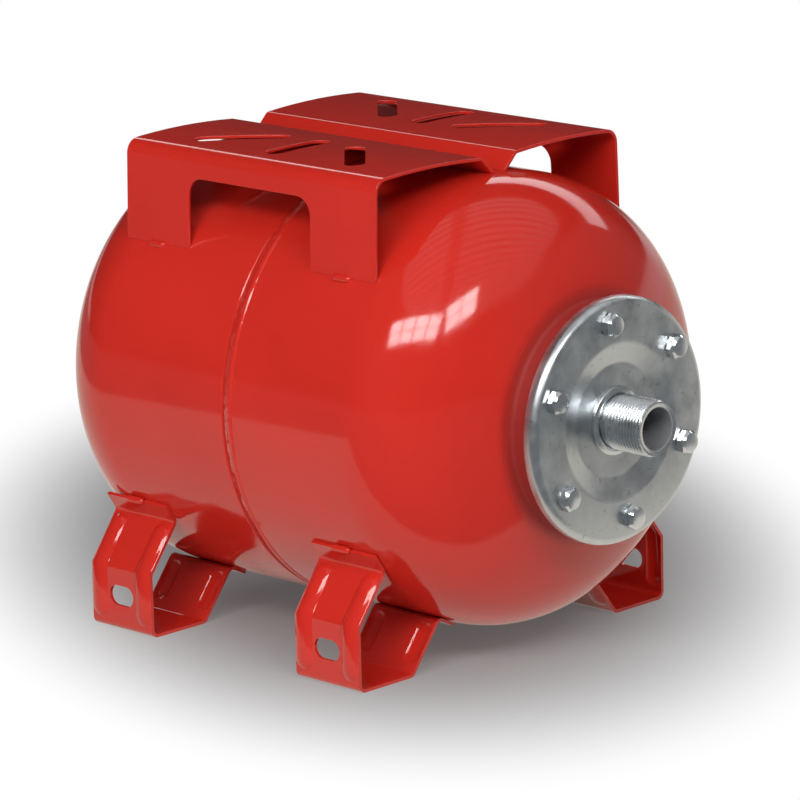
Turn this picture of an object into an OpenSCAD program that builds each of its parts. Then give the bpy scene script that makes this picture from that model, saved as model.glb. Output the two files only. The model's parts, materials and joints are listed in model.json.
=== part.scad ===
/* [Vessel] */
// Outer radius of the cylindrical part
tank_r = 135; // [132:1:138]
// Wall thickness of the two drawn shells
wall = 1.5; // [1.2:0.1:2]
// Height of the vessel's lowest line above the floor
floor_gap = 15; // [12:1:18]
// Where the front shell's straight part ends and its dome begins
front_tangent = 93; // [85:1:97]
// Where the rear shell's straight part ends and its dome begins
rear_tangent = -106; // [-110:1:-98]
// How far each dome reaches beyond its straight part
dome_depth = 84.5; // [82:0.5:86]
// Radius of the tight curve between the straight part and the crown
knuckle_r = 66; // [60:1:68]

/* [Seam] */
// Width of the weld bead round the vessel
seam_w = 8.8; // [6:0.2:12]
// How far the bead stands out of the shells
seam_rise = 0.7; // [0.3:0.1:1.2]
// Length of the rear shell's set-in rim under the front shell
rim_lap = 14; // [10:1:20]

/* [Mouth] */
// Outer radius of the neck drawn in the front dome
neck_r = 68; // [67:0.5:69]
// Radius of the opening in the neck's face
mouth_r = 49; // [48:0.5:50]
// Thickness of the threaded ring inside the neck
ring_t = 10; // [8:0.5:11]
// Front plane of the flange, measured from the seam
flange_x = 186.8; // [186:0.1:188]

/* [Flange] */
// Outer radius of the rolled rim
flange_r = 72.8; // [72:0.2:75]
// Thickness of the pressed sheet
flange_t = 3; // [2.5:0.1:3.5]
// Outer radius of the roll along the rim
roll_r = 7.5; // [7:0.1:8]
// Depth of the sunk middle
sink = 4; // [3:0.5:5]
// Width of the slope between the flat ring and the sunk middle
sink_slope_w = 12.5; // [10:0.5:14]
// Pitch circle of the bolts
bolt_pcd = 118; // [117:0.5:119]
// Turn of the first bolt away from the top
bolt_turn = 8; // [0:1:30]
// Number of bolts
bolt_count = 6; // [4:1:8]

/* [Water nipple] */
// Thread diameter, one inch pipe thread
thread_d = 33.25; // [33.25]
// Bore diameter
bore_d = 25; // [22:0.5:26]
// End of the nipple, measured from the seam
nipple_end = 215.5; // [212:0.5:218]
// Length of the threaded stretch
thread_len = 25; // [20:0.5:25]
// Radius of the collar that sits on the flange
collar_r = 20.5; // [19.5:0.5:22]

/* [Pump brackets] */
// Length of each bracket along the vessel
bracket_len = 209; // [200:1:215]
// Middle of the brackets, measured from the seam
bracket_x = -10; // [-12:1:-8]
// Height of the top plates' long edges above the vessel's top line
plate_rise = 10.5; // [8:0.5:14]
// How far the top plates bulge above their long edges
plate_crown = 2; // [1:0.5:3]
// Outer wall's distance from the middle plane, at the top plate
bracket_out = 102; // [98:0.5:104]
// How much further out the wall stands at its foot
bracket_flare = 2; // [1:0.5:3]
// Top plate's inner edge, measured from the middle plane
plate_in = 14; // [12:0.5:16]
// Width of the cut-out between the two legs
window_w = 102; // [90:1:110]
// Depth of the plate and its fold left above the cut-out
window_drop = 16.5; // [14:0.5:20]
// Radius of the cut-out's upper corners
window_r = 11; // [6:0.5:14]
// Width of the slots in the top plates
plate_slot_w = 12; // [10:0.5:13]
// Length of the straight middle slot, end to end
plate_slot_len = 48; // [40:1:50]
// Length of the two slanted slots, end to end
slant_slot_len = 57; // [50:1:60]
// Distance of the slanted slots from the middle slot
slant_slot_x = 47; // [44:1:50]
// Middle of every slot, measured from the middle plane
plate_slot_y = 61; // [59:0.5:63]

/* [Feet] */
// Distance between the front and rear feet
foot_spacing = 176; // [170:1:180]
// Middle of the four feet, measured from the seam
foot_x = -13; // [-16:1:-10]
// Width of each foot's strip
foot_w = 52; // [48:1:56]
// Outer face of the feet, measured from the middle plane
foot_out = 131.7; // [128:0.5:135]
// Height of the upright panel
foot_up = 39.6; // [36:0.5:42]
// Inner end of the floor panel, measured from the middle plane
foot_in = 87.3; // [84:0.5:90]
// Length of the tabs that lie on the vessel
tab_len = 12.5; // [10:0.5:14]
// Slope of the outer tab's place on the vessel, below level
outer_tab_angle = 34; // [32:0.5:36]
// Slope of the inner tab's place on the vessel, below level
inner_tab_angle = 64.4; // [62:0.5:66]
// Slot length in the upright panel, end to end
foot_slot_len = 20.5; // [18:0.5:23]
// Slot width in the upright panel
foot_slot_w = 12.5; // [10:0.5:15]
// Height of the slots above the floor
foot_slot_z = 22; // [19:0.5:23]
// Width of the stiffening rib along each edge of the feet
rib_w = 14; // [12:0.5:14.5]
// How far the ribs stand out
rib_h = 2.2; // [1.6:0.1:2.6]
// Sheet thickness of the brackets and feet
sheet_t = 2; // [1.6:0.1:2.4]

/* [Membrane] */
// Thickness of the rubber
rubber_t = 2; // [1.5:0.1:2.4]
// Outer radius of the bag
bag_r = 98; // [90:1:100]
// Rear end of the bag, measured from the seam
bag_rear = -143; // [-150:1:-130]
// Thickness of the clamped lip
lip_t = 3; // [2.6:0.1:3.2]

/* [Air valve] */
// Outer radius of the boss in the rear dome
boss_r = 14; // [12:0.5:16]
// Rear end of the valve's guard, measured from the seam
guard_end = -215.5; // [-218:0.5:-214]
// Wall of the guard
guard_t = 1.7; // [1.5:0.1:2]

/* [Hidden] */
$fn = 120;

// Colours
red_paint = [0.77, 0.15, 0.12];
zinc = [0.70, 0.73, 0.76];
steel = [0.55, 0.56, 0.58];
black_rubber = [0.10, 0.10, 0.11];
brass = [0.78, 0.62, 0.30];
grey_plastic = [0.16, 0.17, 0.18];

// Heights
axis_z = tank_r + floor_gap;
plate_z = axis_z + tank_r + plate_rise;
window_z = plate_z - window_drop;

// Dome: the crown arc is tangent to the knuckle arc and meets the axis at the full depth
knuckle_c = tank_r - knuckle_r;
crown_r = (pow(dome_depth, 2) + pow(tank_r, 2) - 2 * tank_r * knuckle_r) / (2 * (dome_depth - knuckle_r));
arc_meet = [knuckle_c, crown_r - dome_depth] / (crown_r - knuckle_r);
far = 2 * tank_r;

// Fits
running_gap = 0.05;
bolt_gap = 0.5;
ring_gap = 0.3;
seam_gap = 0.4;
neck_gap = 0.4;
guard_gap = 0.1;

// Sunk middle of the flange, which reaches into the membrane's mouth
sink_gap = 0.1;
sink_outer_r = mouth_r - neck_gap - rubber_t - sink_gap;
sink_inner_r = sink_outer_r - sink_slope_w;

// Flange stack, from the bolt heads to the back of the threaded ring
bolt_r = 4;
head_af = 13;
head_h = 5.3;
head_face_t = 0.8;
head_face_r = 6.3;
head_turn = 17;
bolt_len = 20;
flange_back = flange_x - flange_t;
seat_x = flange_back - lip_t;
ring_front = seat_x - wall;
lip_r = flange_r - roll_r - ring_gap;
skirt = 1.2;
joint_lap = 0.5;

// Nipple
collar_h = 3;
neck_pipe_r = 16.1;
neck_fillet = 4;
spigot_r = 17;
spigot_out = 1.5;
thread_end_r = 15.6;
chamfer = 1.4;
disc_x = flange_x - sink;

// Valve
rear_apex = rear_tangent - dome_depth;
boss_out = 6;
boss_in = 7;
valve_r = 6;
valve_hex_af = 15;
valve_hex_h = 4;
stem_r = 3.9;
stem_end = guard_end + 4.5;
core_r = 2.5;

// Folded sheets
plate_bend = 9;
lip_bend = 4;
lip_slope = 45;
crown_steps = 8;
bend_steps = 8;
foot_bend = 5;
tab_bend = 3;
tab_at = tab_len / 2;
cut_reach = 20;

// Ribs are arcs of this radius, standing rib_h over the sheet
rib_r = pow(rib_w, 2) / (8 * rib_h) + rib_h / 2;
rib_end = 2;
rib_floor_gap = 6;

// Welds
bead_r = 2.2;
bead_len = 14;
leg_bead_out = 0.3;
tab_bead_out = 0.5;

// Folding a sheet

function unit(v) = v / norm(v);
function left_of(v) = [-v[1], v[0]];

// Points of one bend: corner p, unit directions in and out, bend radius, sideways shift
function bend_points(p, a, b, rho, shift) =
    let (
        turn = sign(cross(a, b)),
        angle = acos(a * b),
        c = p - a * rho * tan(angle / 2) + left_of(a) * turn * rho,
        u = -left_of(a) * turn,
        r = rho - turn * shift
    )
    rho == 0
        ? [p + shift * (left_of(a) + left_of(b)) / (1 + a * b)]
        : [for (i = [0:bend_steps]) let (f = angle * i / bend_steps)
            c + r * (u * cos(f) + left_of(u) * turn * sin(f))];

// One face of a folded sheet, shifted sideways from the line it is folded along
function sheet_face(path, radii, shift) =
    let (n = len(path), d = [for (i = [0:n - 2]) unit(path[i + 1] - path[i])])
    concat(
        [path[0] + shift * left_of(d[0])],
        [for (i = [1:n - 2]) each bend_points(path[i], d[i - 1], d[i], radii[i - 1], shift)],
        [path[n - 1] + shift * left_of(d[n - 2])]
    );

function reversed(list) = [for (i = [len(list) - 1:-1:0]) list[i]];

// Section between two faces of a folded sheet
module sheet_section(path, radii, near, far_side) {
    polygon(concat(sheet_face(path, radii, near), reversed(sheet_face(path, radii, far_side))));
}

// Draws a section that lies across the vessel and runs along it for w, about x = 0
module along(w) {
    translate([-w / 2, 0, 0])
        rotate([90, 0, 90])
            linear_extrude(w) children();
}

// Turns a profile of radius against length about the vessel's axis
module turned() {
    translate([0, 0, axis_z])
        rotate([0, 90, 0])
            rotate_extrude() children();
}

module rod_x(x0, x1, r) {
    translate([x0, 0, axis_z])
        rotate([0, 90, 0])
            cylinder(h = x1 - x0, r = r);
}

// Vessel

// Filled half profile of a dome above its straight part, set in by the given amount
module dome_area(inset) {
    meet = [knuckle_c, 0] + arc_meet * far;
    intersection() {
        translate([0, dome_depth - crown_r]) circle(crown_r - inset);
        polygon([[0, 0], [knuckle_c, 0], meet, [0, far]]);
    }
    intersection() {
        translate([knuckle_c, 0]) circle(knuckle_r - inset);
        polygon([[knuckle_c, 0], [far, 0], [far, far], meet]);
    }
}

module front_profile(inset, start) {
    translate([0, front_tangent]) dome_area(inset);
    translate([0, start]) square([tank_r - inset, front_tangent - start]);
    translate([0, front_tangent]) square([neck_r - inset, seat_x - inset - front_tangent]);
}

module front_shell() {
    color(red_paint)
    difference() {
        turned() difference() {
            front_profile(0, seam_w / 2);
            front_profile(wall, 0);
            square([mouth_r, far]);
        }
        bolt_holes(bolt_r + bolt_gap);
    }
}

module rear_shell() {
    step = seam_w / 2;
    color(red_paint)
    difference() {
        union() {
            mirror([1, 0, 0])
                turned() translate([0, -rear_tangent]) difference() {
                    dome_area(0);
                    dome_area(wall);
                }
            turned() polygon([
                [tank_r, rear_tangent], [tank_r, -step], [tank_r - wall, wall - step],
                [tank_r - wall, rim_lap], [tank_r - 2 * wall, rim_lap], [tank_r - 2 * wall, wall / 2 - step],
                [tank_r - wall, -wall / 2 - step], [tank_r - wall, rear_tangent]
            ]);
        }
        rod_x(rear_apex - boss_in, rear_tangent, boss_r + running_gap);
    }
}

module seam_weld() {
    half = seam_w / 2;
    crown = (pow(half, 2) + pow(seam_rise, 2)) / (2 * seam_rise);
    color(red_paint)
    turned() {
        polygon([[tank_r, -half], [tank_r, half], [tank_r - wall, half], [tank_r - wall, wall - half]]);
        intersection() {
            translate([tank_r + seam_rise - crown, 0]) circle(crown);
            translate([tank_r, -half]) square([seam_rise + 1, seam_w]);
        }
    }
}

// Places its children at every bolt, with +Z of the child pointing forward
module at_bolts() {
    for (i = [0:bolt_count - 1])
        translate([0, 0, axis_z])
            rotate([bolt_turn + i * 360 / bolt_count, 0, 0])
                translate([0, 0, bolt_pcd / 2])
                    rotate([0, 90, 0])
                        rotate([0, 0, i * head_turn])
                            children();
}

module bolt_holes(r) {
    at_bolts() translate([0, 0, ring_front - ring_t - 1]) cylinder(h = 4 * ring_t, r = r);
}

module mouth_ring() {
    color(steel)
    difference() {
        turned() translate([mouth_r, ring_front - ring_t]) square([neck_r - wall - ring_gap - mouth_r, ring_t]);
        bolt_holes(bolt_r + running_gap);
    }
}

module bag_profile(inset) {
    front_c = -bag_rear / 2;
    rear_c = bag_rear + bag_r;
    mouth = mouth_r - neck_gap - inset;
    intersection() {
        union() {
            translate([0, front_c]) circle(bag_r - inset);
            translate([0, rear_c]) circle(bag_r - inset);
            translate([0, rear_c]) square([bag_r - inset, front_c - rear_c]);
        }
        translate([0, -far]) square([far, 2 * far]);
    }
    square([mouth, seat_x + inset]);
}

module membrane() {
    color(black_rubber)
    difference() {
        turned() {
            difference() {
                bag_profile(0);
                bag_profile(rubber_t);
            }
            translate([mouth_r - neck_gap - rubber_t, seat_x])
                square([lip_r - mouth_r + neck_gap + rubber_t, lip_t]);
        }
        bolt_holes(bolt_r + bolt_gap);
    }
}

// Flange and nipple

// Filled section under the pressed plate's outer surface, set in by the given amount
module plate_area(inset) {
    roll_z = flange_x - roll_r;
    difference() {
        union() {
            translate([0, roll_z - skirt]) square([flange_r - inset, skirt]);
            translate([0, roll_z - joint_lap]) square([flange_r - roll_r, roll_r - inset + joint_lap]);
            intersection() {
                translate([flange_r - roll_r, roll_z]) circle(roll_r - inset);
                translate([0, roll_z]) square(far);
            }
        }
        polygon([
            [0, disc_x - inset], [sink_inner_r, disc_x - inset], [sink_outer_r, flange_x - inset],
            [sink_outer_r, far], [0, far]
        ]);
    }
}

// Pressed plate: sunk disc, sloping band, flat ring and rolled rim
module counter_flange() {
    color(zinc)
    difference() {
        turned() difference() {
            plate_area(0);
            plate_area(flange_t);
            square([spigot_r + running_gap, far]);
        }
        bolt_holes(bolt_r + bolt_gap);
    }
}

module water_nipple() {
    thread_r = thread_d / 2;
    thread_start = nipple_end - thread_len;
    color(zinc)
    turned() difference() {
        union() {
            translate([0, disc_x - flange_t - spigot_out]) square([spigot_r, flange_t + spigot_out]);
            translate([0, disc_x]) square([collar_r, collar_h]);
            translate([0, disc_x]) square([neck_pipe_r, thread_start - disc_x]);
            difference() {
                translate([0, disc_x + collar_h]) square([neck_pipe_r + neck_fillet, neck_fillet]);
                translate([neck_pipe_r + neck_fillet, disc_x + collar_h + neck_fillet]) circle(neck_fillet);
            }
            polygon([
                [0, thread_start], [neck_pipe_r, thread_start], [thread_r, thread_start + 1],
                [thread_r, nipple_end - chamfer], [thread_end_r, nipple_end], [0, nipple_end]
            ]);
        }
        square([bore_d / 2, far]);
    }
}

module hex_bolt() {
    corner_r = head_af / 2 / cos(30);
    top = head_face_t + head_h;
    translate([0, 0, -bolt_len]) cylinder(h = bolt_len + top / 2, r = bolt_r);
    cylinder(h = head_face_t, r = head_face_r);
    intersection() {
        translate([0, 0, head_face_t]) cylinder(h = head_h, r = corner_r, $fn = 6);
        cylinder(h = top, r1 = corner_r + 0.5 * top, r2 = head_af / 2 - 0.3);
    }
}

module flange_bolts() {
    color(zinc)
    at_bolts() translate([0, 0, flange_x]) hex_bolt();
}

// Pump brackets

// Line of the outer surface, from the leg's foot over the plate to the lip's end
function bracket_path() =
    let (
        leg_y = bracket_out + bracket_flare,
        leg_z = axis_z + sqrt(pow(tank_r, 2) - pow(leg_y, 2)),
        w = bracket_out - plate_in,
        lip_drop = plate_z - axis_z - tank_r + 1
    )
    concat(
        [[leg_y, leg_z]],
        [for (i = [0:crown_steps]) let (m = i / crown_steps)
            [bracket_out - w * m, plate_z + 4 * plate_crown * m * (1 - m)]],
        [[plate_in - lip_drop / tan(lip_slope), plate_z - lip_drop]]
    );

bracket_radii = [for (i = [0:crown_steps]) i == 0 ? plate_bend : i == crown_steps ? lip_bend : 0];

// Round-ended slot of the given size, through height h, along X
module slot(len, w, h) {
    linear_extrude(h) {
        square([len - w, w], center = true);
        for (s = [-1, 1]) translate([s * (len - w) / 2, 0]) circle(w / 2);
    }
}

module bracket() {
    cut_z = plate_z - 3 * sheet_t;
    cut_h = plate_crown + 5 * sheet_t;
    difference() {
        along(bracket_len) sheet_section(bracket_path(), bracket_radii, 0, sheet_t);
        rod_x(-bracket_len, bracket_len, tank_r);
        translate([0, bracket_out + cut_reach, 0]) rotate([90, 0, 0]) linear_extrude(2 * cut_reach) {
            translate([-window_w / 2, 0]) square([window_w, window_z - window_r]);
            translate([window_r - window_w / 2, 0]) square([window_w - 2 * window_r, window_z]);
            for (s = [-1, 1]) translate([s * (window_w / 2 - window_r), window_z - window_r]) circle(window_r);
        }
        translate([0, plate_slot_y, cut_z]) rotate([0, 0, 90]) slot(plate_slot_len, plate_slot_w, cut_h);
        for (s = [-1, 1])
            translate([s * slant_slot_x, plate_slot_y, cut_z])
                rotate([0, 0, s * 45]) slot(slant_slot_len, plate_slot_w, cut_h);
    }
}

// Room for the seam's bead under the brackets
module seam_room() {
    half = seam_w / 2 + seam_gap;
    rod_x(-half, half, tank_r + seam_rise + seam_gap);
}

module left_pump_bracket() {
    color(red_paint)
    difference() {
        translate([bracket_x, 0, 0]) bracket();
        seam_room();
    }
}

module right_pump_bracket() {
    color(red_paint)
    difference() {
        translate([bracket_x, 0, 0]) rotate([0, 0, 180]) bracket();
        seam_room();
    }
}

// Round-ended bead along X
module bead() {
    rotate([0, 90, 0]) translate([0, 0, bead_r - bead_len / 2]) {
        cylinder(h = bead_len - 2 * bead_r, r = bead_r);
        sphere(bead_r);
        translate([0, 0, bead_len - 2 * bead_r]) sphere(bead_r);
    }
}

// Bead under a leg: end is 1 at the front leg and -1 at the rear leg, side is 1 at the left
module leg_weld(end, side) {
    path = bracket_path();
    leg_x = (bracket_len + window_w) / 4;
    color(red_paint)
    translate([bracket_x + end * leg_x, 0, 0])
        rotate([0, 0, side > 0 ? 0 : 180])
            difference() {
                translate([0, path[0][0] + leg_bead_out, path[0][1] - leg_bead_out]) bead();
                rod_x(-bead_len, bead_len, tank_r);
                along(2 * bead_len) sheet_section([path[0], path[1]], [], 0, sheet_t + bead_r);
            }
}

// Feet

// Point on a tab's outer face, at the given slope below level and distance along the tab
function tab_point(angle, s) =
    [0, axis_z] + (tank_r + sheet_t) * [cos(angle), -sin(angle)] + s * [sin(angle), cos(angle)];

foot_path = [
    tab_point(outer_tab_angle, tab_at), tab_point(outer_tab_angle, -tab_at),
    [foot_out, foot_up], [foot_out, 0], [foot_in, 0],
    tab_point(inner_tab_angle, tab_at), tab_point(inner_tab_angle, -tab_at)
];
foot_radii = [tab_bend, foot_bend, foot_bend, foot_bend, tab_bend];

function toward(p, q, s) = p + unit(q - p) * s;

module foot_sheet() {
    along(foot_w) sheet_section(foot_path, foot_radii, 0, -sheet_t);
}

// Turns its children, drawn up +Z from the origin, along the section's line from p to q
module run_along(p, q) {
    d = q - p;
    translate([0, p[0], p[1]]) rotate([atan2(-d[0], d[1]), 0, 0]) children();
}

// Bar of radius r, round at p and run on past q, solid on the sheet's side: 1 to the right of the line, -1 to the left
module arch(p, q, r, side) {
    run_along(p, q) {
        sphere(r);
        linear_extrude(norm(q - p) + 4 * rib_w) {
            circle(r);
            translate([-r, min(side, 0) * 4 * r]) square([2 * r, 4 * r]);
        }
    }
}

// Band on and just under the sheet's outer face, over a ridge along the given line
module ridge_band(line, depth) {
    last = len(line) - 1;
    straight = [for (i = [1:1:last - 1]) 0];
    ends = [
        toward(line[0], line[1], -rib_w / 2), for (i = [1:1:last - 1]) line[i],
        toward(line[last], line[last - 1], -rib_w / 2)
    ];
    along(rib_w) sheet_section(ends, straight, rib_h + 1, -depth);
}

// Ridge of arc radius r over an outer bend, from p round the corner c to q
module bent_ridge(p, c, q, r, depth) {
    axis = sheet_face([p, c, q], [0], rib_h - rib_r);
    intersection() {
        arch(axis[0], axis[1], r, 1);
        arch(axis[2], axis[1], r, -1);
        ridge_band([p, c, q], depth);
    }
}

// Straight ridge of arc radius r from p to q
module straight_ridge(p, q, r, depth) {
    axis = sheet_face([p, q], [], rib_h - rib_r);
    intersection() {
        run_along(axis[0], axis[1]) {
            cylinder(h = norm(q - p), r = r);
            sphere(r);
            translate([0, 0, norm(q - p)]) sphere(r);
        }
        ridge_band([p, q], depth);
    }
}

// All four ridges of a foot: over the outer bend and up the inner slope, along both edges
module ridges(r, depth) {
    for (s = [-1, 1]) translate([s * (foot_w - rib_w) / 2, 0, 0]) {
        bent_ridge(
            toward(foot_path[1], foot_path[2], rib_end + rib_w / 2), foot_path[2],
            toward(foot_path[3], foot_path[2], rib_floor_gap + rib_w / 2), r, depth
        );
        straight_ridge(
            toward(foot_path[4], foot_path[5], rib_floor_gap + rib_w / 2),
            toward(foot_path[5], foot_path[4], rib_end + rib_w / 2), r, depth
        );
    }
}

module foot() {
    color(red_paint)
    difference() {
        union() {
            foot_sheet();
            ridges(rib_r, sheet_t / 2);
        }
        ridges(rib_r - sheet_t, 1.5 * sheet_t);
        translate([0, foot_out + cut_reach, foot_slot_z])
            rotate([90, 0, 0])
                slot(foot_slot_len, foot_slot_w, 2 * cut_reach);
    }
}

// Places its children, drawn for the left side, at a foot's station
module at_foot(end, side) {
    translate([foot_x + end * foot_spacing / 2, 0, 0])
        rotate([0, 0, side > 0 ? 0 : 180])
            children();
}

// Beads at the ends of a foot's two tabs
module foot_welds() {
    color(red_paint)
    difference() {
        for (p = [
            tab_point(outer_tab_angle, tab_at + tab_bead_out),
            tab_point(inner_tab_angle, -tab_at - tab_bead_out)
        ])
            translate([0, p[0], p[1]]) bead();
        rod_x(-foot_w, foot_w, tank_r);
        foot_sheet();
    }
}

// Air valve

module valve_boss() {
    color(steel)
    difference() {
        rod_x(rear_apex - boss_out, rear_apex + boss_in, boss_r);
        rod_x(rear_apex - boss_out - 1, rear_apex + boss_in + 1, valve_r + running_gap);
    }
}

module air_valve() {
    seat = rear_apex - boss_out;
    color(brass)
    difference() {
        union() {
            rod_x(seat - 1, rear_apex + boss_in, valve_r);
            translate([seat - valve_hex_h, 0, axis_z])
                rotate([0, 90, 0])
                    cylinder(h = valve_hex_h, r = valve_hex_af / 2 / cos(30), $fn = 6);
            rod_x(stem_end, seat - valve_hex_h + 1, stem_r);
        }
        rod_x(stem_end - 1, rear_apex + boss_in + 1, core_r + running_gap);
    }
}

module valve_core() {
    color(brass) {
        rod_x(stem_end + 1.5, rear_apex, core_r);
        rod_x(stem_end + 0.5, stem_end + 2, core_r / 3);
    }
}

// Plain cup over the valve, slipped on the boss
module valve_guard() {
    inner_r = boss_r + guard_gap;
    outer_r = inner_r + guard_t;
    edge_r = 4;
    color(grey_plastic)
    mirror([1, 0, 0]) turned() difference() {
        union() {
            translate([0, 1 - rear_apex]) square([outer_r, rear_apex - guard_end - edge_r - 1]);
            square([outer_r - edge_r, -guard_end]);
            translate([outer_r - edge_r, -guard_end - edge_r]) circle(edge_r);
        }
        square([inner_r, -guard_end - guard_t - 1]);
    }
}

front_shell();
rear_shell();
seam_weld();
mouth_ring();
membrane();
counter_flange();
water_nipple();
flange_bolts();
left_pump_bracket();
right_pump_bracket();
leg_weld(1, 1);  // front_left_leg_weld
leg_weld(-1, 1);  // rear_left_leg_weld
leg_weld(1, -1);  // front_right_leg_weld
leg_weld(-1, -1);  // rear_right_leg_weld
at_foot(1, 1) foot();  // front_left_foot
at_foot(-1, 1) foot();  // rear_left_foot
at_foot(1, -1) foot();  // front_right_foot
at_foot(-1, -1) foot();  // rear_right_foot
at_foot(1, 1) foot_welds();  // front_left_foot_welds
at_foot(-1, 1) foot_welds();  // rear_left_foot_welds
at_foot(1, -1) foot_welds();  // front_right_foot_welds
at_foot(-1, -1) foot_welds();  // rear_right_foot_welds
valve_boss();
air_valve();
valve_core();
valve_guard();
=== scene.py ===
import json
import math

import bmesh
import bpy
from mathutils import Matrix, Vector


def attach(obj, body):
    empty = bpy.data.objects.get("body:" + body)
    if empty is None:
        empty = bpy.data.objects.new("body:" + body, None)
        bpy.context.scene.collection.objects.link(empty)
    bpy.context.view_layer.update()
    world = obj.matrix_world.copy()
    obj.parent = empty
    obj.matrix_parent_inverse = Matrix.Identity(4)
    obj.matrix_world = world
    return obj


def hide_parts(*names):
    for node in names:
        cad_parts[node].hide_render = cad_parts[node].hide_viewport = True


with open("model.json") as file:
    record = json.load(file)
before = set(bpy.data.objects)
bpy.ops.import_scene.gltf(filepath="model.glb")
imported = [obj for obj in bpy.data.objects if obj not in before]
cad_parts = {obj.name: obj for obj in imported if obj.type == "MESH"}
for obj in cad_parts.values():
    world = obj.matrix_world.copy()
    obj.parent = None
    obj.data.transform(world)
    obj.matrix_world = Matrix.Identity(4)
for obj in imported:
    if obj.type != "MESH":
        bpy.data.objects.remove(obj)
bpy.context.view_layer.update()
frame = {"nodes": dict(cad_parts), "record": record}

bl_info = {
    "name": "Pressure tank dressing",
    "version": (1, 0, 0),
    "blender": (4, 5, 0),
    "location": "3D View > Sidebar > Tank",
    "description": "Paint, plating, thread, welds and a studio for a horizontal pressure tank",
    "category": "Object",
}

NODES = frame["nodes"]
SUBPARTS = frame["record"]["subparts"]
FOLDED = [entry["node"] for entry in SUBPARTS if entry["node"].endswith(("bracket", "foot"))]


# sizes and colours that a user would change

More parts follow.
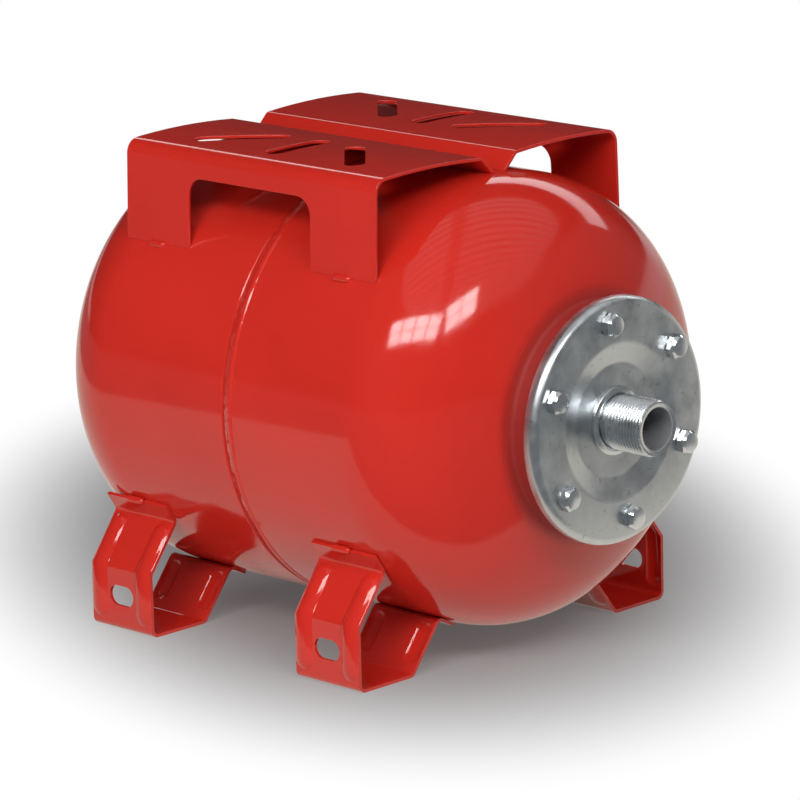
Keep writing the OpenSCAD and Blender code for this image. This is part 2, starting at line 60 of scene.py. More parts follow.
class TankSizes(bpy.types.PropertyGroup):
    """Sizes of the vessel and its fittings, as in the solids"""
    axis_z: bpy.props.FloatProperty(
        name="Axis height", description="Height of the vessel's axis above the floor",
        default=0.150, unit="LENGTH")
    tank_r: bpy.props.FloatProperty(
        name="Vessel radius", description="Outer radius of the straight part",
        default=0.135, unit="LENGTH")
    wall: bpy.props.FloatProperty(
        name="Wall", description="Thickness of the drawn shells",
        default=0.0015, unit="LENGTH")
    front_tangent: bpy.props.FloatProperty(
        name="Front tangent", description="Where the front dome begins",
        default=0.093, unit="LENGTH")
    rear_tangent: bpy.props.FloatProperty(
        name="Rear tangent", description="Where the rear dome begins",
        default=-0.106, unit="LENGTH")
    dome_depth: bpy.props.FloatProperty(
        name="Dome depth", description="Reach of each dome beyond its tangent",
        default=0.0845, unit="LENGTH")
    knuckle_r: bpy.props.FloatProperty(
        name="Knuckle radius", description="Tight curve at the edge of the domes",
        default=0.066, unit="LENGTH")
    lap: bpy.props.FloatProperty(
        name="Lap", description="How far the rear shell's rim reaches under the front shell",
        default=0.014, unit="LENGTH")
    seam_w: bpy.props.FloatProperty(
        name="Seam width", description="Width of the round weld",
        default=0.0088, unit="LENGTH")
    seam_rise: bpy.props.FloatProperty(
        name="Seam height", description="Height of the round weld over the shells",
        default=0.0007, unit="LENGTH")
    neck_r: bpy.props.FloatProperty(
        name="Neck radius", description="Outer radius of the neck behind the flange",
        default=0.068, unit="LENGTH")
    mouth_r: bpy.props.FloatProperty(
        name="Mouth radius", description="Opening in the neck's face",
        default=0.049, unit="LENGTH")
    seat_x: bpy.props.FloatProperty(
        name="Seat", description="Plane of the neck's face",
        default=0.1808, unit="LENGTH")
    boss_r: bpy.props.FloatProperty(
        name="Valve boss radius", description="Hole for the valve boss in the rear dome",
        default=0.014, unit="LENGTH")
    flange_x: bpy.props.FloatProperty(
        name="Flange plane", description="Front plane of the flange",
        default=0.1868, unit="LENGTH")
    flange_r: bpy.props.FloatProperty(
        name="Flange radius", description="Outer radius of the rolled rim",
        default=0.0728, unit="LENGTH")
    flange_t: bpy.props.FloatProperty(
        name="Flange sheet", description="Thickness of the pressed plate",
        default=0.003, unit="LENGTH")
    roll_r: bpy.props.FloatProperty(
        name="Rim roll", description="Outer radius of the roll at the flange's rim",
        default=0.0075, unit="LENGTH")
    sink: bpy.props.FloatProperty(
        name="Sink", description="Depth of the flange's sunk middle",
        default=0.004, unit="LENGTH")
    sink_inner_r: bpy.props.FloatProperty(
        name="Sunk disc", description="Radius where the flat of the sunk middle ends",
        default=0.034, unit="LENGTH")
    sink_outer_r: bpy.props.FloatProperty(
        name="Sink edge", description="Radius where the flange begins to sink",
        default=0.0465, unit="LENGTH")
    bolt_pcd: bpy.props.FloatProperty(
        name="Pitch circle", description="Pitch circle diameter of the bolts",
        default=0.118, unit="LENGTH")
    bolt_turn: bpy.props.FloatProperty(
        name="First bolt", description="Turn of the first bolt from the top",
        default=math.radians(8), unit="ROTATION")
    bolt_count: bpy.props.IntProperty(
        name="Bolts", description="Number of bolts",
        default=6, min=3, max=12)
    bolt_across: bpy.props.FloatProperty(
        name="Across flats", description="Width of the hexagon heads over their flats",
        default=0.013, unit="LENGTH")
    bolt_head: bpy.props.FloatProperty(
        name="Head height", description="Height of the hexagon over its washer face",
        default=0.0053, unit="LENGTH")
    bolt_length: bpy.props.FloatProperty(
        name="Shank", description="Length of the bolts under the head",
        default=0.020, unit="LENGTH")
    nipple_end: bpy.props.FloatProperty(
        name="Nipple end", description="End of the nipple",
        default=0.2155, unit="LENGTH")
    bore_r: bpy.props.FloatProperty(
        name="Bore", description="Inner radius of the nipple",
        default=0.0125, unit="LENGTH")
    spigot_r: bpy.props.FloatProperty(
        name="Spigot", description="Radius of the nipple's plain end in the flange",
        default=0.017, unit="LENGTH")
    flare_r: bpy.props.FloatProperty(
        name="Flared foot", description="Radius of the nipple's foot on the flange",
        default=0.0205, unit="LENGTH")
    thread_r: bpy.props.FloatProperty(
        name="Thread radius", description="Radius over the crests of the one inch pipe thread",
        default=0.016625, unit="LENGTH")
    thread_depth: bpy.props.FloatProperty(
        name="Thread depth", description="Depth of the thread's grooves",
        default=0.00125, unit="LENGTH")
    thread_length: bpy.props.FloatProperty(
        name="Thread length", description="Length of the thread from the nipple's end",
        default=0.0262, unit="LENGTH")
    thread_pitch: bpy.props.FloatProperty(
        name="Thread pitch", description="Pitch of the pipe thread",
        default=0.002309, unit="LENGTH")
    fold_edge: bpy.props.FloatProperty(
        name="Sheet edge", description="Small radius on the edges of the folded sheet",
        default=0.0005, unit="LENGTH")


class TankColours(bpy.types.PropertyGroup):
    """Colours of the finishes"""
    paint: bpy.props.FloatVectorProperty(
        name="Paint", description="Red powder coat", subtype="COLOR", size=3,
        default=(0.56, 0.022, 0.013), min=0, max=1)
    zinc: bpy.props.FloatVectorProperty(
        name="Zinc", description="Bright zinc plating", subtype="COLOR", size=3,
        default=(0.60, 0.625, 0.64), min=0, max=1)
    steel: bpy.props.FloatVectorProperty(
        name="Steel", description="Plain steel inside", subtype="COLOR", size=3,
        default=(0.42, 0.42, 0.43), min=0, max=1)
    rubber: bpy.props.FloatVectorProperty(
        name="Rubber", description="Membrane", subtype="COLOR", size=3,
        default=(0.022, 0.022, 0.024), min=0, max=1)
    brass: bpy.props.FloatVectorProperty(
        name="Brass", description="Air valve", subtype="COLOR", size=3,
        default=(0.72, 0.50, 0.20), min=0, max=1)
    plastic: bpy.props.FloatVectorProperty(
        name="Guard", description="Plastic of the valve guard", subtype="COLOR", size=3,
        default=(0.03, 0.032, 0.035), min=0, max=1)


# materials

class Nodes:
    """Short ways to add nodes to a tree"""

    def __init__(self, tree):
        self.tree = tree

    def add(self, kind, inputs=None, **settings):
        node = self.tree.nodes.new(kind)
        for key, value in settings.items():
            setattr(node, key, value)
        for key, value in (inputs or {}).items():
            if isinstance(value, bpy.types.NodeSocket):
                self.tree.links.new(value, node.inputs[key])
            else:
                node.inputs[key].default_value = value
        return node

    def span(self, value, low, high, start=0.0, stop=1.0):
        """The value from start to stop laid out from low to high, and held there beyond them"""
        return self.add("ShaderNodeMapRange", {"Value": value, "From Min": start, "From Max": stop,
                                               "To Min": low, "To Max": high}).outputs["Result"]

    def calc(self, operation, a, b=0.0):
        return self.add("ShaderNodeMath", {0: a, 1: b}, operation=operation).outputs[0]

    def along(self, place, direction):
        """How far the place lies along the direction"""
        return self.add("ShaderNodeVectorMath", {0: place, 1: direction},
                        operation="DOT_PRODUCT").outputs["Value"]

    def mix(self, factor, a, b):
        return self.add("ShaderNodeMix", {0: factor, 6: a, 7: b}, data_type="RGBA").outputs[2]


class Shader(Nodes):
    """A node material being put together"""

    def __init__(self, name, **sockets):
        self.material = bpy.data.materials.new(name)
        self.material.use_nodes = True
        super().__init__(self.material.node_tree)
        self.bsdf = self.tree.nodes["Principled BSDF"]
        for key, value in sockets.items():
            self.bsdf.inputs[key.replace("_", " ")].default_value = value
        self.place = self.add("ShaderNodeTexCoord").outputs["Object"]

    def noise(self, scale, detail=3.0, rough=0.5):
        return self.add("ShaderNodeTexNoise", {"Vector": self.place, "Scale": scale, "Detail": detail,
                                               "Roughness": rough}).outputs["Fac"]

    def radius(self, axis_z):
        """Distance from the vessel's axis"""
        level = self.add("ShaderNodeVectorMath", {0: self.place, 1: (0, 0, axis_z)}, operation="SUBTRACT")
        flat = self.add("ShaderNodeVectorMath", {0: level.outputs["Vector"], 1: (0, 1, 1)},
                        operation="MULTIPLY")
        return self.add("ShaderNodeVectorMath", {0: flat.outputs["Vector"]},
                        operation="LENGTH").outputs["Value"]

    def bump(self, height, strength, distance, after=None):
        inputs = {"Height": height, "Strength": strength, "Distance": distance}
        if after:
            inputs["Normal"] = after
        return self.add("ShaderNodeBump", inputs).outputs["Normal"]

    def grey(self, level):
        return self.add("ShaderNodeCombineColor", {"Red": level, "Green": level,
                                                   "Blue": level}).outputs["Color"]

    def use(self, **links):
        for key, value in links.items():
            self.tree.links.new(value, self.bsdf.inputs[key.replace("_", " ")])
        return self.material


def shade(colour, factor):
    return [min(1.0, c * factor) for c in colour] + [1.0]


def paint_material(name, colour, ripple, lump=26, corner=None):
    """Glossy powder coat with orange peel and dust; corner (x, radius, axis height) makes a dull neck
    darkened by painted shade towards the flange
    """
    s = Shader(name, IOR=1.5)
    cloud = s.noise(9, 3)
    tint = s.mix(s.span(cloud, 0, 1, 0.35, 0.65), shade(colour, 0.95), shade(colour, 1.05))
    dust = s.span(s.noise(900, 2, 0.7), 0, 1, 0.72, 0.78)
    peel = s.bump(s.noise(420, 2, 0.4), 0.05, 0.0002)
    wave = s.bump(s.noise(lump, 1.5, 0.4), ripple, 0.0004, peel)
    body = s.mix(dust, tint, shade(colour, 1.4))
    dull = s.span(s.noise(60, 4, 0.6), 0.06, 0.14, 0.3, 0.7)
    if corner:
        x, radius, axis_z = corner
        length = s.add("ShaderNodeSeparateXYZ", {0: s.place}).outputs["X"]
        # painted shade: the neck turns darker and rougher towards the flange, where the flange shades it
        painted_shade = s.calc("MULTIPLY", s.span(length, 0, 1, x - 0.004, x + 0.004),
                       s.span(s.radius(axis_z), 1, 0, radius + 0.001, radius + 0.010))
        body = s.mix(painted_shade, body, shade(colour, 0.5))
        dull = s.calc("MAXIMUM", dull, s.calc("MULTIPLY", painted_shade, 0.7))
    return s.use(Base_Color=body, Roughness=dull, Normal=wave)


def zinc_material(name, colour, rough, grain, relief, bore=None):
    """Bright zinc plating: soft cloudy gloss over steel; bore (radius, axis height) makes the inside of the
    bore darker and less metallic
    """
    s = Shader(name, Metallic=1.0)
    cloud = s.noise(70, 5, 0.6)
    fine = s.noise(1100, 3, 0.6)
    tint = s.mix(s.span(cloud, 0, 1, 0.3, 0.7), shade(colour, 0.84), shade(colour, 1.12))
    spots = s.span(s.noise(330, 2, 0.5), 0, 1, 0.66, 0.74)
    bumps = s.bump(fine, grain, 0.00012, s.bump(cloud, relief, 0.0006))
    body = s.mix(spots, tint, shade(colour, 0.72))
    if bore:
        radius, axis_z = bore
        outside = s.span(s.radius(axis_z), 0, 1, radius * 1.02, radius * 1.06)
        body = s.mix(outside, shade(colour, 0.42), body)
        s.use(Metallic=s.span(outside, 0.3, 1))
    return s.use(Base_Color=body, Roughness=s.span(cloud, rough * 0.75, rough * 1.3, 0.3, 0.7), Normal=bumps)


def plain_material(name, colour, rough, scale, metallic=0.0):
    """Finish of a hidden piece: moulded rubber, plastic, turned steel or brass"""
    s = Shader(name, Metallic=metallic)
    cloud = s.noise(scale, 4, 0.6)
    grain = s.noise(scale * 14, 2, 0.5)
    tint = s.mix(s.span(cloud, 0, 1, 0.3, 0.7), shade(colour, 0.85), shade(colour, 1.15))
    return s.use(Base_Color=tint, Roughness=s.span(cloud, rough * 0.85, min(1, rough * 1.15), 0.3, 0.7),
                 Normal=s.bump(grain, 0.1, 0.0002))


FINISH = {}


def make_finishes(colours, z):
    red, zinc = colours.paint, colours.zinc
    # the neck's painted shade darkens the red from about this length along the axis towards the flange
    painted_shade_x = 0.158
    FINISH["paint"] = paint_material("red_powder_coat", red, 0.05)
    FINISH["weld"] = paint_material("red_paint_on_weld", red, 1.0, 260)
    FINISH["neck"] = paint_material("red_paint_with_painted_shade_by_the_flange", red, 0.05, 26, (painted_shade_x, z.neck_r, z.axis_z))
    FINISH["zinc"] = zinc_material("bright_zinc", zinc, 0.34, 0.06, 0.10)
    FINISH["zinc_bolt"] = zinc_material("zinc_on_forged_steel", shade(zinc, 1.1)[:3], 0.20, 0.02, 0.01)
    FINISH["zinc_pipe"] = zinc_material("zinc_on_threaded_pipe", shade(zinc, 1.05)[:3], 0.24, 0.03, 0.02,
                                        (z.bore_r, z.axis_z))
    FINISH["steel"] = plain_material("turned_steel", colours.steel, 0.4, 60, 1.0)
    FINISH["rubber"] = plain_material("moulded_rubber", colours.rubber, 0.6, 40)
    FINISH["brass"] = plain_material("turned_brass", colours.brass, 0.28, 60, 1.0)
    FINISH["plastic"] = plain_material("moulded_plastic", colours.plastic, 0.45, 50)


SLOT_FINISH = {"red_paint": "paint", "zinc_plate": "zinc", "bare_steel": "steel", "black_rubber": "rubber",
               "valve_brass": "brass", "grey_plastic": "plastic"}


def dress(piece, finish):
    piece.data.materials.clear()
    piece.data.materials.append(FINISH[finish])


# shapes

def arc(centre, radius, start, stop, steps):
    """Points on an arc, angles in radians"""
    return [(centre[0] + radius * math.cos(start + (stop - start) * i / steps),
             centre[1] + radius * math.sin(start + (stop - start) * i / steps)) for i in range(steps + 1)]


def rounded(points, radii, steps=6):
    """The outline with each corner rounded by its radius; a closed outline has a radius for every point"""
    out, n = [], len(points)
    for i, (p, r) in enumerate(zip(points, radii)):
        if r == 0:
            out.append(p)
            continue
        p, a, b = Vector(p), Vector(points[i - 1]), Vector(points[(i + 1) % n])
        u, v = (a - p).normalized(), (b - p).normalized()
        half = math.acos(max(-1, min(1, u.dot(v)))) / 2
        reach = min(r / math.tan(half), (a - p).length * 0.499, (b - p).length * 0.499)
        centre = p + (u + v).normalized() * (reach / math.cos(half))
        start = p + u * reach - centre
        end = p + v * reach - centre
        turn = start.angle_signed(end)
        for k in range(steps + 1):
            t = -turn * k / steps
            out.append((centre.x + start.x * math.cos(t) - start.y * math.sin(t),
                        centre.y + start.x * math.sin(t) + start.y * math.cos(t)))
    return out


def new_mesh(name, verts, faces, finish, sharp=35):
    """A dressed piece with its doubles merged and its faces outwards; sharp is in degrees"""
    mesh = bpy.data.meshes.new(name)
    mesh.from_pydata(verts, [], faces)
    mesh.validate()
    piece = bpy.data.objects.new(name, mesh)
    bpy.context.scene.collection.objects.link(piece)
    shape = bmesh.new()
    shape.from_mesh(mesh)
    bmesh.ops.remove_doubles(shape, verts=shape.verts, dist=1e-7)
    bmesh.ops.recalc_face_normals(shape, faces=shape.faces)
    shape.to_mesh(mesh)
    shape.free()
    mesh.shade_smooth()
    mesh.set_sharp_from_angle(angle=math.radians(sharp))
    dress(piece, finish)
    return piece


def ring_faces(rows, count):
    """Quads of a closed tube of rows, each with count vertices"""
    faces = []
    for k in range(rows):
        a, b = k * count, (k + 1) % rows * count
        faces += [(a + i, a + (i + 1) % count, b + (i + 1) % count, b + i) for i in range(count)]
    return faces


def turned(name, outline, finish, axis_z, segments=192, sharp=35):
    """A closed outline of (length along X, radius) turned about the vessel's axis"""
    verts = []
    for k in range(segments):
        c, s = math.cos(2 * math.pi * k / segments), math.sin(2 * math.pi * k / segments)
        verts += [(x, r * s, axis_z + r * c) for x, r in outline]
    return new_mesh(name, verts, ring_faces(segments, len(outline)), finish, sharp)


def dome(z, inset, steps=40):
    """Half outline of a dome as (reach, radius), from the straight part to the axis"""
    knuckle = z.tank_r - z.knuckle_r
    spare = z.dome_depth - z.knuckle_r
    crown = (z.dome_depth ** 2 + z.tank_r ** 2 - 2 * z.tank_r * z.knuckle_r) / (2 * spare)
    back = z.dome_depth - crown
    meet = math.atan2(knuckle, -back)
    edge = arc((0, knuckle), z.knuckle_r - inset, math.pi / 2, meet, steps)
    cap = arc((back, 0), crown - inset, meet, 0, steps)
    return edge + cap[1:]


def finish_piece(piece, node):
    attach(piece, "root")
    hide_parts(node)


class TANK_OT_shells(bpy.types.Operator):
    """Turn the two drawn shells with smooth domes and the neck behind the flange"""
    bl_idname = "tank.shells"
    bl_label = "Shells"

    def execute(self, context):
        z = context.scene.tank_sizes
        half, inner_r, segments = z.seam_w / 2, z.tank_r - z.wall, 288
        fillet, slope, corner_r, face_r = 0.004, 0.0016, 0.003, 0.0015
        outer = [(z.front_tangent + x, r) for x, r in dome(z, 0) if r > z.neck_r + fillet]
        inner = [(z.front_tangent + x, r) for x, r in dome(z, z.wall) if r > z.neck_r - z.wall]
        foot, back = outer[-1], z.seat_x - z.wall
        neck = rounded([foot, (foot[0] + slope, z.neck_r), (z.seat_x, z.neck_r), (z.seat_x, z.mouth_r),
                        (back, z.mouth_r), (back, z.neck_r - z.wall), inner[-1]],
                       [0, corner_r, face_r, 0, 0, 0, 0], 8)
        outline = [(half, z.tank_r)] + outer + neck[1:-1] + inner[::-1] + [(half, inner_r)]
        front = turned("front_shell_skin", outline, "neck", z.axis_z, segments)
        finish_piece(front, "front_shell")
        hole_r = z.boss_r + 0.0002
        outer = [(z.rear_tangent - x, r) for x, r in dome(z, 0) if r > hole_r]
        inner = [(z.rear_tangent - x, r) for x, r in dome(z, z.wall) if r > hole_r]
        rim = [(-half, z.tank_r), (z.wall - half, inner_r), (z.lap, inner_r), (z.lap, inner_r - z.wall),
               (z.wall / 2 - half, inner_r - z.wall), (-z.wall / 2 - half, inner_r)]
        rear = turned("rear_shell_skin", outer[::-1] + rim + inner, "paint", z.axis_z, segments)
        finish_piece(rear, "rear_shell")
        return {"FINISHED"}


class TANK_OT_seam(bpy.types.Operator):
    """Turn the round weld between the shells, a ridge with a groove beside it"""
    bl_idname = "tank.seam"
    bl_label = "Seam weld"

    def execute(self, context):
        z = context.scene.tank_sizes
        half, r, sunk = z.seam_w / 2, z.tank_r, 0.0001
        ridge_x, ridge_r, lean = 0.0021, 0.0035, math.radians(35)
        top = r + z.seam_rise - 0.00005
        ridge = arc((ridge_x, top - ridge_r), ridge_r, math.pi / 2 + lean, math.pi / 2 - lean, 14)
        groove = [(0.0004 - half, r - 0.0007), (0.0009 - half, r - 0.0003)]
        under = r - z.wall + sunk
        outline = [(-half, r - sunk), *groove, *ridge, (half, r - sunk), (half, under), (-half, under)]
        seam = turned("seam_weld_bead", outline, "weld", z.axis_z, 288, 50)
        finish_piece(seam, "seam_weld")
        return {"FINISHED"}


class TANK_OT_flange(bpy.types.Operator):
    """Turn the pressed counter flange with its rolled rim and sunk middle; the bolts cover its holes"""
    bl_idname = "tank.flange"
    bl_label = "Counter flange"

    def execute(self, context):
        z = context.scene.tank_sizes
        x, r, t, roll = z.flange_x, z.flange_r, z.flange_t, z.roll_r
        sunk, hole_r, edge = x - z.sink, z.spigot_r + 0.00005, 0.0008
        skirt = x - roll - 0.0012
        front = [(sunk, hole_r), (sunk, z.sink_inner_r), (x, z.sink_outer_r), (x, r), (skirt, r)]
        back = [(skirt, r - t), (x - t, r - t), (x - t, z.sink_outer_r), (sunk - t, z.sink_inner_r),
                (sunk - t, hole_r)]
        outline = rounded(front + back, [0, 0.008, 0.012, roll, edge, edge, roll - t, 0.009, 0.011, 0], 10)
        piece = turned("counter_flange_plate", outline, "zinc", z.axis_z, 192, 40)
        finish_piece(piece, "counter_flange")
        return {"FINISHED"}


class TANK_OT_nipple(bpy.types.Operator):
    """Turn the nipple and cut its pipe thread"""
    bl_idname = "tank.nipple"
    bl_label = "Water nipple"

    def execute(self, context):
        z = context.scene.tank_sizes
        seat, end, pitch = z.flange_x - z.sink, z.nipple_end, z.thread_pitch
        spigot_x, rows, segments = seat - 0.0045, 12, 120
        run_in, chamfer, chamfer_x, mouth = 0.0015, 0.0009, 0.0022, 0.0008
        foot = rounded([(spigot_x, z.bore_r), (spigot_x, z.spigot_r), (seat, z.spigot_r), (seat, z.flare_r),
                        (seat + 0.0016, z.flare_r - 0.0003), (seat + 0.0034, 0.0166)],
                       [0, 0.0005, 0, 0, 0.0008, 0.0024], 8)
        start = end - z.thread_length
        count = int(z.thread_length / pitch * rows)
        thread = [start + (end - start) * i / count for i in range(count + 1)]
        lip = [(end, z.bore_r + mouth), (end - 0.0006, z.bore_r)]
        verts = []
        for k in range(segments):
            outline = list(foot)
            for x in thread:
                wave = abs(2 * (((x - start) / pitch - k / segments) % 1) - 1)
                groove = max(0, min(1, (wave - 0.12) / 0.76))
                fade = min(1, (x - start) / run_in) * min(1, (end - x) / chamfer_x)
                near_end = max(0, 1 - (end - x) / chamfer_x)
                outline.append((x, z.thread_r - z.thread_depth * groove * fade - chamfer * near_end))
            turn = 2 * math.pi * k / segments
            verts += [(x, r * math.sin(turn), z.axis_z + r * math.cos(turn)) for x, r in outline + lip]
        faces = ring_faces(segments, len(verts) // segments)
        piece = new_mesh("water_nipple_thread", verts, faces, "zinc_pipe", 48)
        finish_piece(piece, "water_nipple")
        return {"FINISHED"}


def hexagon_bolt(across, head, length):
    """Mesh of a hexagon bolt standing on z = 0, with washer face and chamfered head"""
    count, washer_r, washer_t, shank_r, flat_r, crown = 48, 0.0063, 0.0008, 0.004, 0.0052, 0.0001
    top, corner = washer_t + head, across / 2 / math.cos(math.pi / 6)
    turns = [2 * math.pi * k / count for k in range(count)]
    hexagon = [across / 2 / math.cos(a % (math.pi / 3) - math.pi / 6) for a in turns]
    # rings of (radius, height) from the shank's end up; the chamfer dips towards the corners
    rings = [[(shank_r, -length)] * count, [(shank_r, 0)] * count,
             [(washer_r, 0)] * count, [(washer_r, washer_t)] * count,
             [(r, washer_t) for r in hexagon],
             [(min(r, corner - 0.000018), top - 0.0016 - 0.55 * (r - across / 2)) for r in hexagon],
             [(min(r, corner - 0.00189), top) for r in hexagon],
             [(flat_r, top + crown)] * count]
    shape = bmesh.new()
    rows = [[shape.verts.new((r * math.cos(a), r * math.sin(a), h)) for a, (r, h) in zip(turns, ring)]
            for ring in rings]
    middle = shape.verts.new((0, 0, top + crown))
    for low, high in zip(rows, rows[1:]):
        for k in range(count):
            shape.faces.new((low[k], low[(k + 1) % count], high[(k + 1) % count], high[k]))
    for k in range(count):
        shape.faces.new((rows[-1][k], rows[-1][(k + 1) % count], middle))
    shape.faces.new(rows[0][::-1])
    bmesh.ops.recalc_face_normals(shape, faces=shape.faces)
    mesh = bpy.data.meshes.new("hexagon_bolt")
    shape.to_mesh(mesh)
    shape.free()
    mesh.shade_smooth()
    mesh.set_sharp_from_angle(angle=math.radians(25))
    return mesh


def circle_tree(material):
    """Node tree that sets copies of one shape on a circle, facing along the circle's axis"""
    tree = bpy.data.node_groups.new("shapes_on_a_circle", "GeometryNodeTree")
    face = tree.interface
    for name, kind in (("Shape", "NodeSocketObject"), ("Count", "NodeSocketInt"),
                       ("Radius", "NodeSocketFloat"), ("First", "NodeSocketFloat"),
                       ("Turn each", "NodeSocketFloat")):
        face.new_socket(name, in_out="INPUT", socket_type=kind)
    face.new_socket("Geometry", in_out="OUTPUT", socket_type="NodeSocketGeometry")
    add, link = tree.nodes.new, tree.links.new
    given, out = add("NodeGroupInput"), add("NodeGroupOutput")
    ring = add("GeometryNodeMeshCircle")
    link(given.outputs["Count"], ring.inputs["Vertices"])
    link(given.outputs["Radius"], ring.inputs["Radius"])
    source = add("GeometryNodeObjectInfo")
    link(given.outputs["Shape"], source.inputs["Object"])
    index = add("GeometryNodeInputIndex")
    each = add("ShaderNodeMath")
    each.operation = "MULTIPLY"
    link(index.outputs[0], each.inputs[0])
    link(given.outputs["Turn each"], each.inputs[1])
    spin = add("ShaderNodeCombineXYZ")
    link(each.outputs[0], spin.inputs["Z"])
    place = add("GeometryNodeInstanceOnPoints")
    link(ring.outputs["Mesh"], place.inputs["Points"])
    link(source.outputs["Geometry"], place.inputs["Instance"])
    link(spin.outputs[0], place.inputs["Rotation"])
    turn = add("ShaderNodeCombineXYZ")
    link(given.outputs["First"], turn.inputs["Z"])
    whole = add("GeometryNodeTransform")
    link(turn.outputs[0], whole.inputs["Rotation"])
    link(place.outputs["Instances"], whole.inputs["Geometry"])
    solid, finish = add("GeometryNodeRealizeInstances"), add("GeometryNodeSetMaterial")
    finish.inputs["Material"].default_value = material
    link(whole.outputs["Geometry"], solid.inputs["Geometry"])
    link(solid.outputs["Geometry"], finish.inputs["Geometry"])
    link(finish.outputs["Geometry"], out.inputs["Geometry"])
    return tree


def grown(name, tree, place, **inputs):
    """The plain mesh that a node tree makes with these inputs, moved by the matrix place"""
    holder = bpy.data.objects.new(name, bpy.data.meshes.new(name))
    bpy.context.scene.collection.objects.link(holder)
    modifier = holder.modifiers.new("growth", "NODES")
    modifier.node_group = tree
    keys = {item.name: item.identifier for item in tree.interface.items_tree if item.in_out == "INPUT"}
    for key, value in inputs.items():
        modifier[keys[key.replace("_", " ")]] = value
    graph = bpy.context.evaluated_depsgraph_get()
    mesh = bpy.data.meshes.new_from_object(holder.evaluated_get(graph))
    holder.modifiers.remove(modifier)
    mesh.transform(place)
    empty = holder.data
    holder.data = mesh
    bpy.data.meshes.remove(empty)
    mesh.name = name
    return holder


class TANK_OT_bolts(bpy.types.Operator):
    """Set the hexagon bolts round the flange, each head turned a little more than the last"""
    bl_idname = "tank.bolts"
    bl_label = "Flange bolts"

    def execute(self, context):
        z = context.scene.tank_sizes
        shape = bpy.data.objects.new("hexagon_bolt", hexagon_bolt(z.bolt_across, z.bolt_head, z.bolt_length))
        context.scene.collection.objects.link(shape)
        tree = circle_tree(FINISH["zinc_bolt"])
        # the circle is drawn in XY about Z; here Z is laid along X and X is stood up
        lay = Matrix(((0, 0, 1, z.flange_x), (0, -1, 0, 0), (1, 0, 0, z.axis_z), (0, 0, 0, 1)))
        piece = grown("flange_bolts_zinc", tree, lay, Shape=shape, Count=z.bolt_count, Radius=z.bolt_pcd / 2,
                      First=z.bolt_turn, Turn_each=math.radians(17))
        bpy.data.objects.remove(shape)
        finish_piece(piece, "flange_bolts")
        return {"FINISHED"}


class TANK_OT_sheet_parts(bpy.types.Operator):
    """Give the folded brackets and feet their small edge radii and paint"""
    bl_idname = "tank.sheet_parts"
    bl_label = "Brackets and feet"

    def execute(self, context):
        for node in FOLDED:
            mesh = NODES[node].data.copy()
            piece = bpy.data.objects.new(node + "_folded", mesh)
            context.scene.collection.objects.link(piece)
            shape = bmesh.new()
            shape.from_mesh(mesh)
            bmesh.ops.remove_doubles(shape, verts=shape.verts, dist=1e-6)
            bmesh.ops.dissolve_limit(shape, angle_limit=math.radians(0.5), verts=shape.verts,
                                     edges=shape.edges)
            shape.to_mesh(mesh)
            shape.free()
            mesh.shade_smooth()
            edge = piece.modifiers.new("edge", "BEVEL")
            edge.width, edge.segments = context.scene.tank_sizes.fold_edge, 2
            edge.limit_method, edge.angle_limit = "ANGLE", math.radians(40)
            edge.harden_normals = True
            even = piece.modifiers.new("even", "WEIGHTED_NORMAL")
            even.weight, even.keep_sharp = 100, True
            dress(piece, "paint")
            finish_piece(piece, node)
        return {"FINISHED"}


class TANK_OT_finishes(bpy.types.Operator):
    """Make the finishes and put them on the solids"""
    bl_idname = "tank.finishes"
    bl_label = "Finishes"

    def execute(self, context):
        make_finishes(context.scene.tank_colours, context.scene.tank_sizes)
        for entry in SUBPARTS:
            finish = "weld" if "weld" in entry["node"] else SLOT_FINISH[entry["material_slot"]]
            dress(NODES[entry["node"]], finish)
        return {"FINISHED"}


# studio

# a painted shadow round the tank, a grey ellipse fitted to the photograph's floor: centre, turn, reach along
# its own axes, where it starts and stops to fade as shares of that reach, the fade's bend and its darkest
# grey
GREY_CENTRE, GREY_TURN, GREY_REACH = (-0.13, 0.124, 0), math.radians(52.9), (0.336, 0.61, 1)
GREY_START, GREY_STOP, GREY_BEND, GREY_DARKEST = 0.279, 0.893, 1.6, 0.115
# how much of the painted shadow's grey the camera sees where it is darkest; the rest is lit floor with its
# real shadow
DRAWN = 0.7

# name, direction (degrees from -Y towards +X, and up), width and height in degrees, distance, brightness,
# whether gloss shows it, and how many panes it has across and up
LAMPS = (
    ("window_left", 26.5, 38, 43, 12, 2.5, 13.5, True, 4, 2),
    ("window_right", 71.5, 37, 21, 13, 2.5, 13.5, True, 2, 2),
    ("window_behind", -147, 36, 84, 11, 2.5, 2.6, True, 1, 1),
    ("front_fill", 2, 12, 44, 30, 3.0, 1.6, False, 1, 1),
    ("rear_fill", -150, 4, 44, 30, 3.0, 2.0, False, 1, 1),
)
LAMPS_AIM = Vector((0, 0, 0.15))
PANE_CLEAR = 0.92

# the photograph's camera: focal length and sensor in mm, heading, rise and roll in degrees, aim and distance
SENSOR, FOCAL = 36, 223.26615
CAMERA_AZ, CAMERA_EL, CAMERA_ROLL = 44.86, 13.58, -1.38
CAMERA_AIM, CAMERA_AWAY = Vector((0.0084, 0.00005, 0.13543)), 2.97849


def heading(az, el):
    """Unit vector at az degrees from -Y towards +X and el degrees up"""
    a, e = math.radians(az), math.radians(el)
    return Vector((math.sin(a) * math.cos(e), -math.cos(a) * math.cos(e), math.sin(e)))


